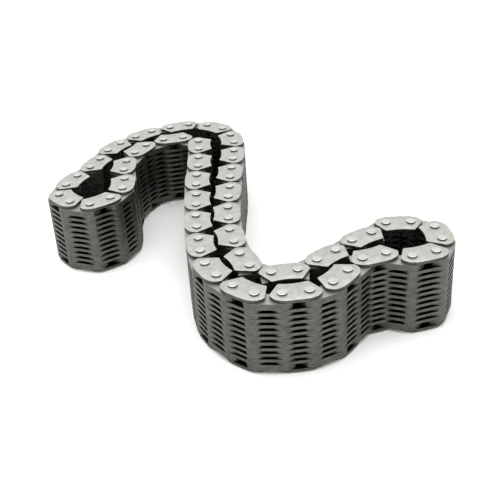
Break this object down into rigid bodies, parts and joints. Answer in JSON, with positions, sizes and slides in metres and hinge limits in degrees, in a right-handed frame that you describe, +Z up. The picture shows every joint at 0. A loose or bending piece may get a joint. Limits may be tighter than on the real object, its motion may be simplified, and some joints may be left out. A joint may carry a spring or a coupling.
{
  "type": "silent chain",
  "caption": "Endless inverted-tooth silent chain with side guide plates, standing on its edge and folded flat into an S, teeth inwards.",
  "frame": {"origin": "middle of the folded chain's outline, on the surface that it stands on", "axes": "+Z up along the pins, +X to the right and +Y away from the viewer, as the chain lies in the picture"},
  "size_m": [0.1618, 0.1694, 0.0319],
  "materials": {
    "guide_steel": "satin, tumbled",
    "tooth_steel": "satin, oiled, darker",
    "pair_steel": "satin, tumbled"
  },
  "bodies": {
    "guide_link_01": {"guide_link_01": "guide_steel"},
    "tooth_link_01": {"tooth_link_01": "tooth_steel"},
    "guide_link_02": {"guide_link_02": "guide_steel"},
    "tooth_link_02": {"tooth_link_02": "tooth_steel"},
    "guide_link_03": {"guide_link_03": "guide_steel"},
    "tooth_link_03": {"tooth_link_03": "tooth_steel"},
    "guide_link_04": {"guide_link_04": "guide_steel"},
    "tooth_link_04": {"tooth_link_04": "tooth_steel"},
    "guide_link_05": {"guide_link_05": "guide_steel"},
    "tooth_link_05": {"tooth_link_05": "tooth_steel"},
    "guide_link_06": {"guide_link_06": "guide_steel"},
    "tooth_link_06": {"tooth_link_06": "tooth_steel"},
    "link_pair_07": {"link_pair_07": "pair_steel"},
    "link_pair_08": {"link_pair_08": "pair_steel"},
    "link_pair_09": {"link_pair_09": "pair_steel"},
    "link_pair_10": {"link_pair_10": "pair_steel"},
    "link_pair_11": {"link_pair_11": "pair_steel"},
    "link_pair_12": {"link_pair_12": "pair_steel"},
    "guide_link_13": {"guide_link_13": "guide_steel"},
    "tooth_link_13": {"tooth_link_13": "tooth_steel"},
    "guide_link_14": {"guide_link_14": "guide_steel"},
    "tooth_link_14": {"tooth_link_14": "tooth_steel"},
    "guide_link_15": {"guide_link_15": "guide_steel"},
    "tooth_link_15": {"tooth_link_15": "tooth_steel"},
    "guide_link_16": {"guide_link_16": "guide_steel"},
    "tooth_link_16": {"tooth_link_16": "tooth_steel"},
    "guide_link_17": {"guide_link_17": "guide_steel"},
    "tooth_link_17": {"tooth_link_17": "tooth_steel"},
    "guide_link_18": {"guide_link_18": "guide_steel"},
    "tooth_link_18": {"tooth_link_18": "tooth_steel"},
    "guide_link_19": {"guide_link_19": "guide_steel"},
    "tooth_link_19": {"tooth_link_19": "tooth_steel"},
    "guide_link_20": {"guide_link_20": "guide_steel"},
    "tooth_link_20": {"tooth_link_20": "tooth_steel"},
    "guide_link_21": {"guide_link_21": "guide_steel"},
    "tooth_link_21": {"tooth_link_21": "tooth_steel"},
    "guide_link_22": {"guide_link_22": "guide_steel"},
    "tooth_link_22": {"tooth_link_22": "tooth_steel"},
    "guide_link_23": {"guide_link_23": "guide_steel"},
    "tooth_link_23": {"tooth_link_23": "tooth_steel"},
    "link_pair_24": {"link_pair_24": "pair_steel"},
    "link_pair_25": {"link_pair_25": "pair_steel"},
    "link_pair_26": {"link_pair_26": "pair_steel"},
    "link_pair_27": {"link_pair_27": "pair_steel"},
    "link_pair_28": {"link_pair_28": "pair_steel"},
    "link_pair_29": {"link_pair_29": "pair_steel"},
    "guide_link_30": {"guide_link_30": "guide_steel"},
    "tooth_link_30": {"tooth_link_30": "tooth_steel"},
    "guide_link_31": {"guide_link_31": "guide_steel"},
    "tooth_link_31": {"tooth_link_31": "tooth_steel"},
    "guide_link_32": {"guide_link_32": "guide_steel"},
    "tooth_link_32": {"tooth_link_32": "tooth_steel"},
    "guide_link_33": {"guide_link_33": "guide_steel"},
    "tooth_link_33": {"tooth_link_33": "tooth_steel"},
    "guide_link_34": {"guide_link_34": "guide_steel"},
    "tooth_link_34": {"tooth_link_34": "tooth_steel"},
    "guide_link_35": {"guide_link_35": "guide_steel"},
    "tooth_link_35": {"tooth_link_35": "tooth_steel"},
    "guide_link_36": {"guide_link_36": "guide_steel"},
    "tooth_link_36": {"tooth_link_36": "tooth_steel"}
  },
  "joints": [
    {"name": "pin_21_turn", "type": "hinge", "parent": "link_pair_10", "child": "link_pair_11", "pos_m": [-0.01646, -0.01845, 0], "axis": [0, 0, 1], "range_deg": [-0.83, 0.08]},
    {"name": "right_arm_swing", "type": "hinge", "parent": "link_pair_11", "child": "link_pair_12", "pos_m": [-0.01526, -0.03746, 0], "axis": [0, 0, 1], "range_deg": [-6, 0.5]},
    {"name": "pin_25_turn", "type": "hinge", "parent": "link_pair_12", "child": "guide_link_13", "pos_m": [-0.01253, -0.0563, 0], "axis": [0, 0, 1], "range_deg": [-3, 0.26]},
    {"name": "pin_26_turn", "type": "hinge", "parent": "guide_link_13", "child": "tooth_link_13", "pos_m": [-0.00837, -0.06487, 0], "axis": [0, 0, 1], "range_deg": [-0.1, 1.03]},
    {"name": "pin_27_turn", "type": "hinge", "parent": "tooth_link_13", "child": "guide_link_14", "pos_m": [-0.00265, -0.07248, 0], "axis": [0, 0, 1], "range_deg": [-0.31, 3.5]},
    {"name": "pin_28_turn", "type": "hinge", "parent": "guide_link_14", "child": "tooth_link_14", "pos_m": [0.00465, -0.07861, 0], "axis": [0, 0, 1], "range_deg": [-0.27, 3.08]},
    {"name": "pin_29_turn", "type": "hinge", "parent": "tooth_link_14", "child": "guide_link_15", "pos_m": [0.01412, -0.07959, 0], "axis": [0, 0, 1], "range_deg": [-0.1, 0.99]},
    {"name": "pin_30_turn", "type": "hinge", "parent": "guide_link_15", "child": "tooth_link_15", "pos_m": [0.02361, -0.07874, 0], "axis": [0, 0, 1], "range_deg": [-3.47, 0.3]},
    {"name": "pin_31_turn", "type": "hinge", "parent": "tooth_link_15", "child": "guide_link_16", "pos_m": [0.03216, -0.07454, 0], "axis": [0, 0, 1], "range_deg": [-5.89, 0.5]},
    {"name": "pin_32_turn", "type": "hinge", "parent": "guide_link_16", "child": "tooth_link_16", "pos_m": [0.03825, -0.06722, 0], "axis": [0, 0, 1], "range_deg": [-3.78, 1.23]},
    {"name": "pin_33_turn", "type": "hinge", "parent": "tooth_link_16", "child": "guide_link_17", "pos_m": [0.04447, -0.06001, 0], "axis": [0, 0, 1], "range_deg": [-0.74, 2.25]},
    {"name": "right_loop_squeeze", "type": "hinge", "parent": "guide_link_17", "child": "tooth_link_17", "pos_m": [0.05357, -0.05718, 0], "axis": [0, 0, 1], "range_deg": [-4.2, 13]},
    {"name": "pin_35_turn", "type": "hinge", "parent": "tooth_link_17", "child": "guide_link_18", "pos_m": [0.06248, -0.06055, 0], "axis": [0, 0, 1], "range_deg": [-3.51, 1.14]},
    {"name": "pin_36_turn", "type": "hinge", "parent": "guide_link_18", "child": "tooth_link_18", "pos_m": [0.07167, -0.05804, 0], "axis": [0, 0, 1], "range_deg": [-1.03, 3.15]},
    {"name": "pin_37_turn", "type": "hinge", "parent": "tooth_link_18", "child": "guide_link_19", "pos_m": [0.0758, -0.04946, 0], "axis": [0, 0, 1], "range_deg": [-2.25, 0.74]},
    {"name": "pin_38_turn", "type": "hinge", "parent": "guide_link_19", "child": "tooth_link_19", "pos_m": [0.07508, -0.03996, 0], "axis": [0, 0, 1], "range_deg": [-7.01, 2.28]},
    {"name": "pin_39_turn", "type": "hinge", "parent": "tooth_link_19", "child": "guide_link_20", "pos_m": [0.06689, -0.0351, 0], "axis": [0, 0, 1], "range_deg": [-3.82, 1.25]},
    {"name": "pin_40_turn", "type": "hinge", "parent": "guide_link_20", "child": "tooth_link_20", "pos_m": [0.05737, -0.03466, 0], "axis": [0, 0, 1], "range_deg": [-3.96, 12.23]},
    {"name": "pin_41_turn", "type": "hinge", "parent": "tooth_link_20", "child": "guide_link_21", "pos_m": [0.05068, -0.04143, 0], "axis": [0, 0, 1], "range_deg": [-1.14, 3.49]},
    {"name": "pin_42_turn", "type": "hinge", "parent": "guide_link_21", "child": "tooth_link_21", "pos_m": [0.04255, -0.04639, 0], "axis": [0, 0, 1], "range_deg": [-13.77, 4.46]},
    {"name": "pin_43_turn", "type": "hinge", "parent": "tooth_link_21", "child": "guide_link_22", "pos_m": [0.03563, -0.05294, 0], "axis": [0, 0, 1], "range_deg": [-0.15, 1.69]},
    {"name": "pin_44_turn", "type": "hinge", "parent": "guide_link_22", "child": "tooth_link_22", "pos_m": [0.02816, -0.05886, 0], "axis": [0, 0, 1], "range_deg": [-0.12, 1.23]},
    {"name": "pin_45_turn", "type": "hinge", "parent": "tooth_link_22", "child": "guide_link_23", "pos_m": [0.02071, -0.06478, 0], "axis": [0, 0, 1], "range_deg": [-0.12, 1.24]},
    {"name": "pin_46_turn", "type": "hinge", "parent": "guide_link_23", "child": "tooth_link_23", "pos_m": [0.01121, -0.06553, 0], "axis": [0, 0, 1], "range_deg": [-0.08, 0.83]},
    {"name": "pin_47_turn", "type": "hinge", "parent": "tooth_link_23", "child": "link_pair_24", "pos_m": [0.00365, -0.05974, 0], "axis": [0, 0, 1], "range_deg": [-0.09, 0.93]},
    {"name": "pin_49_turn", "type": "hinge", "parent": "link_pair_24", "child": "link_pair_25", "pos_m": [-0.00163, -0.0415, 0], "axis": [0, 0, 1], "range_deg": [-0.13, 1.41]},
    {"name": "pin_51_turn", "type": "hinge", "parent": "link_pair_25", "child": "link_pair_26", "pos_m": [-0.00337, -0.02257, 0], "axis": [0, 0, 1], "range_deg": [-0.29, 3.37]},
    {"name": "left_arm_swing", "type": "hinge", "parent": "link_pair_10", "child": "link_pair_09", "pos_m": [-0.01663, 0.0006, 0], "axis": [0, 0, 1], "range_deg": [-4.4, 4.4]},
    {"name": "pin_17_turn", "type": "hinge", "parent": "link_pair_09", "child": "link_pair_08", "pos_m": [-0.01677, 0.01964, 0], "axis": [0, 0, 1], "range_deg": [-1.34, 1.34]},
    {"name": "pin_15_turn", "type": "hinge", "parent": "link_pair_08", "child": "link_pair_07", "pos_m": [-0.01625, 0.03868, 0], "axis": [0, 0, 1], "range_deg": [-1, 1]},
    {"name": "pin_13_turn", "type": "hinge", "parent": "link_pair_07", "child": "tooth_link_06", "pos_m": [-0.01658, 0.05773, 0], "axis": [0, 0, 1], "range_deg": [-0.65, 0.65]},
    {"name": "pin_12_turn", "type": "hinge", "parent": "tooth_link_06", "child": "guide_link_06", "pos_m": [-0.02415, 0.06352, 0], "axis": [0, 0, 1], "range_deg": [-0.65, 0.65]},
    {"name": "pin_11_turn", "type": "hinge", "parent": "guide_link_06", "child": "tooth_link_05", "pos_m": [-0.03356, 0.06209, 0], "axis": [0, 0, 1], "range_deg": [-0.77, 0.77]},
    {"name": "pin_10_turn", "type": "hinge", "parent": "tooth_link_05", "child": "guide_link_05", "pos_m": [-0.04149, 0.05681, 0], "axis": [0, 0, 1], "range_deg": [-1.56, 1.56]},
    {"name": "pin_09_turn", "type": "hinge", "parent": "guide_link_05", "child": "tooth_link_04", "pos_m": [-0.0463, 0.04859, 0], "axis": [0, 0, 1], "range_deg": [-2.81, 2.81]},
    {"name": "pin_08_turn", "type": "hinge", "parent": "tooth_link_04", "child": "guide_link_04", "pos_m": [-0.04944, 0.03959, 0], "axis": [0, 0, 1], "range_deg": [-0.29, 2.91]},
    {"name": "left_loop_squeeze", "type": "hinge", "parent": "guide_link_04", "child": "tooth_link_03", "pos_m": [-0.04982, 0.03008, 0], "axis": [0, 0, 1], "range_deg": [-14.5, 1.4]},
    {"name": "pin_06_turn", "type": "hinge", "parent": "tooth_link_03", "child": "guide_link_03", "pos_m": [-0.0487, 0.02062, 0], "axis": [0, 0, 1], "range_deg": [-7.74, 0.76]},
    {"name": "pin_05_turn", "type": "hinge", "parent": "guide_link_03", "child": "tooth_link_02", "pos_m": [-0.04874, 0.01109, 0], "axis": [0, 0, 1], "range_deg": [-6.4, 0.63]},
    {"name": "pin_04_turn", "type": "hinge", "parent": "tooth_link_02", "child": "guide_link_02", "pos_m": [-0.05309, 0.00262, 0], "axis": [0, 0, 1], "range_deg": [-1.23, 12.63]},
    {"name": "pin_03_turn", "type": "hinge", "parent": "guide_link_02", "child": "tooth_link_01", "pos_m": [-0.06118, -0.00241, 0], "axis": [0, 0, 1], "range_deg": [-1.09, 11.18]},
    {"name": "pin_02_turn", "type": "hinge", "parent": "tooth_link_01", "child": "guide_link_01", "pos_m": [-0.07001, 0.00117, 0], "axis": [0, 0, 1], "range_deg": [-0.25, 2.4]},
    {"name": "pin_01_turn", "type": "hinge", "parent": "guide_link_01", "child": "tooth_link_36", "pos_m": [-0.07574, 0.00877, 0], "axis": [0, 0, 1], "range_deg": [-0.25, 2.4]},
    {"name": "pin_72_turn", "type": "hinge", "parent": "tooth_link_36", "child": "guide_link_36", "pos_m": [-0.07409, 0.01816, 0], "axis": [0, 0, 1], "range_deg": [-8.72, 0.86]},
    {"name": "pin_71_turn", "type": "hinge", "parent": "guide_link_36", "child": "tooth_link_35", "pos_m": [-0.07038, 0.02693, 0], "axis": [0, 0, 1], "range_deg": [-6.93, 0.68]},
    {"name": "pin_70_turn", "type": "hinge", "parent": "tooth_link_35", "child": "guide_link_35", "pos_m": [-0.06564, 0.03519, 0], "axis": [0, 0, 1], "range_deg": [-9.11, 0.89]},
    {"name": "pin_69_turn", "type": "hinge", "parent": "guide_link_35", "child": "tooth_link_34", "pos_m": [-0.06209, 0.04403, 0], "axis": [0, 0, 1], "range_deg": [-2.42, 0.25]},
    {"name": "pin_68_turn", "type": "hinge", "parent": "tooth_link_34", "child": "guide_link_34", "pos_m": [-0.05948, 0.05319, 0], "axis": [0, 0, 1], "range_deg": [-2.36, 24.3]},
    {"name": "pin_67_turn", "type": "hinge", "parent": "guide_link_34", "child": "tooth_link_33", "pos_m": [-0.05417, 0.06109, 0], "axis": [0, 0, 1], "range_deg": [-2.54, 2.54]},
    {"name": "pin_66_turn", "type": "hinge", "parent": "tooth_link_33", "child": "guide_link_33", "pos_m": [-0.04745, 0.06785, 0], "axis": [0, 0, 1], "range_deg": [-4.12, 4.12]},
    {"name": "pin_65_turn", "type": "hinge", "parent": "guide_link_33", "child": "tooth_link_32", "pos_m": [-0.03996, 0.07374, 0], "axis": [0, 0, 1], "range_deg": [-1.94, 1.94]},
    {"name": "pin_64_turn", "type": "hinge", "parent": "tooth_link_32", "child": "guide_link_32", "pos_m": [-0.03109, 0.07719, 0], "axis": [0, 0, 1], "range_deg": [-0.84, 0.84]},
    {"name": "pin_63_turn", "type": "hinge", "parent": "guide_link_32", "child": "tooth_link_31", "pos_m": [-0.02186, 0.07955, 0], "axis": [0, 0, 1], "range_deg": [-3.27, 3.27]},
    {"name": "pin_62_turn", "type": "hinge", "parent": "tooth_link_31", "child": "guide_link_31", "pos_m": [-0.0126, 0.07731, 0], "axis": [0, 0, 1], "range_deg": [-2.84, 2.84]},
    {"name": "pin_61_turn", "type": "hinge", "parent": "guide_link_31", "child": "tooth_link_30", "pos_m": [-0.00494, 0.07165, 0], "axis": [0, 0, 1], "range_deg": [-0.65, 0.65]},
    {"name": "pin_60_turn", "type": "hinge", "parent": "tooth_link_30", "child": "guide_link_30", "pos_m": [-0.00113, 0.06292, 0], "axis": [0, 0, 1], "range_deg": [-1.79, 1.79]},
    {"name": "pin_59_turn", "type": "hinge", "parent": "guide_link_30", "child": "link_pair_29", "pos_m": [0.00031, 0.0535, 0], "axis": [0, 0, 1], "range_deg": [-1.97, 1.97]},
    {"name": "pin_57_turn", "type": "hinge", "parent": "link_pair_29", "child": "link_pair_28", "pos_m": [-0.00059, 0.03448, 0], "axis": [0, 0, 1], "range_deg": [-1.3, 1.3]},
    {"name": "pin_55_turn", "type": "hinge", "parent": "link_pair_28", "child": "link_pair_27", "pos_m": [-0.00212, 0.0155, 0], "axis": [0, 0, 1], "range_deg": [-2.45, 2.45]}
  ],
  "couplings": [
    {"joint": "pin_21_turn", "follows": "right_arm_swing", "ratio": 0.13616},
    {"joint": "pin_25_turn", "follows": "right_arm_swing", "ratio": 0.49809},
    {"joint": "pin_26_turn", "follows": "right_arm_swing", "ratio": -0.16996},
    {"joint": "pin_27_turn", "follows": "right_arm_swing", "ratio": -0.58053},
    {"joint": "pin_28_turn", "follows": "right_arm_swing", "ratio": -0.51152},
    {"joint": "pin_29_turn", "follows": "right_arm_swing", "ratio": -0.16176},
    {"joint": "pin_30_turn", "follows": "right_arm_swing", "ratio": 0.57653},
    {"joint": "pin_31_turn", "follows": "right_arm_swing", "ratio": 0.97992},
    {"joint": "pin_32_turn", "follows": "right_loop_squeeze", "ratio": -0.28987},
    {"joint": "pin_33_turn", "follows": "right_loop_squeeze", "ratio": 0.1716},
    {"joint": "pin_35_turn", "follows": "right_loop_squeeze", "ratio": -0.26875},
    {"joint": "pin_36_turn", "follows": "right_loop_squeeze", "ratio": 0.24112},
    {"joint": "pin_37_turn", "follows": "right_loop_squeeze", "ratio": -0.17175},
    {"joint": "pin_38_turn", "follows": "right_loop_squeeze", "ratio": -0.53811},
    {"joint": "pin_39_turn", "follows": "right_loop_squeeze", "ratio": -0.29292},
    {"joint": "pin_40_turn", "follows": "right_loop_squeeze", "ratio": 0.93942},
    {"joint": "pin_41_turn", "follows": "right_loop_squeeze", "ratio": 0.26696},
    {"joint": "pin_42_turn", "follows": "right_loop_squeeze", "ratio": -1.0577},
    {"joint": "pin_43_turn", "follows": "right_arm_swing", "ratio": -0.27888},
    {"joint": "pin_44_turn", "follows": "right_arm_swing", "ratio": -0.20321},
    {"joint": "pin_45_turn", "follows": "right_arm_swing", "ratio": -0.204},
    {"joint": "pin_46_turn", "follows": "right_arm_swing", "ratio": -0.1362},
    {"joint": "pin_47_turn", "follows": "right_arm_swing", "ratio": -0.15197},
    {"joint": "pin_49_turn", "follows": "right_arm_swing", "ratio": -0.23332},
    {"joint": "pin_51_turn", "follows": "right_arm_swing", "ratio": -0.55934},
    {"joint": "pin_17_turn", "follows": "left_arm_swing", "ratio": -0.30192},
    {"joint": "pin_15_turn", "follows": "left_arm_swing", "ratio": -0.22398},
    {"joint": "pin_13_turn", "follows": "left_arm_swing", "ratio": 0.14359},
    {"joint": "pin_12_turn", "follows": "left_arm_swing", "ratio": 0.14358},
    {"joint": "pin_11_turn", "follows": "left_arm_swing", "ratio": 0.17272},
    {"joint": "pin_10_turn", "follows": "left_arm_swing", "ratio": 0.35184},
    {"joint": "pin_09_turn", "follows": "left_arm_swing", "ratio": 0.63602},
    {"joint": "pin_08_turn", "follows": "left_loop_squeeze", "ratio": -0.19964},
    {"joint": "pin_06_turn", "follows": "left_loop_squeeze", "ratio": 0.53293},
    {"joint": "pin_05_turn", "follows": "left_loop_squeeze", "ratio": 0.44011},
    {"joint": "pin_04_turn", "follows": "left_loop_squeeze", "ratio": -0.87001},
    {"joint": "pin_03_turn", "follows": "left_loop_squeeze", "ratio": -0.76982},
    {"joint": "pin_02_turn", "follows": "left_loop_squeeze", "ratio": -0.1643},
    {"joint": "pin_01_turn", "follows": "left_loop_squeeze", "ratio": -0.1643},
    {"joint": "pin_72_turn", "follows": "left_loop_squeeze", "ratio": 0.60057},
    {"joint": "pin_71_turn", "follows": "left_loop_squeeze", "ratio": 0.47678},
    {"joint": "pin_70_turn", "follows": "left_loop_squeeze", "ratio": 0.62722},
    {"joint": "pin_69_turn", "follows": "left_loop_squeeze", "ratio": 0.16552},
    {"joint": "pin_68_turn", "follows": "left_loop_squeeze", "ratio": -1.675},
    {"joint": "pin_67_turn", "follows": "left_arm_swing", "ratio": -0.57315},
    {"joint": "pin_66_turn", "follows": "left_arm_swing", "ratio": -0.93211},
    {"joint": "pin_65_turn", "follows": "left_arm_swing", "ratio": -0.43705},
    {"joint": "pin_64_turn", "follows": "left_arm_swing", "ratio": 0.18685},
    {"joint": "pin_63_turn", "follows": "left_arm_swing", "ratio": 0.73975},
    {"joint": "pin_62_turn", "follows": "left_arm_swing", "ratio": 0.64203},
    {"joint": "pin_61_turn", "follows": "left_arm_swing", "ratio": 0.14518},
    {"joint": "pin_60_turn", "follows": "left_arm_swing", "ratio": -0.40432},
    {"joint": "pin_59_turn", "follows": "left_arm_swing", "ratio": -0.44492},
    {"joint": "pin_57_turn", "follows": "left_arm_swing", "ratio": -0.29147},
    {"joint": "pin_55_turn", "follows": "left_arm_swing", "ratio": -0.55264}
  ]
}
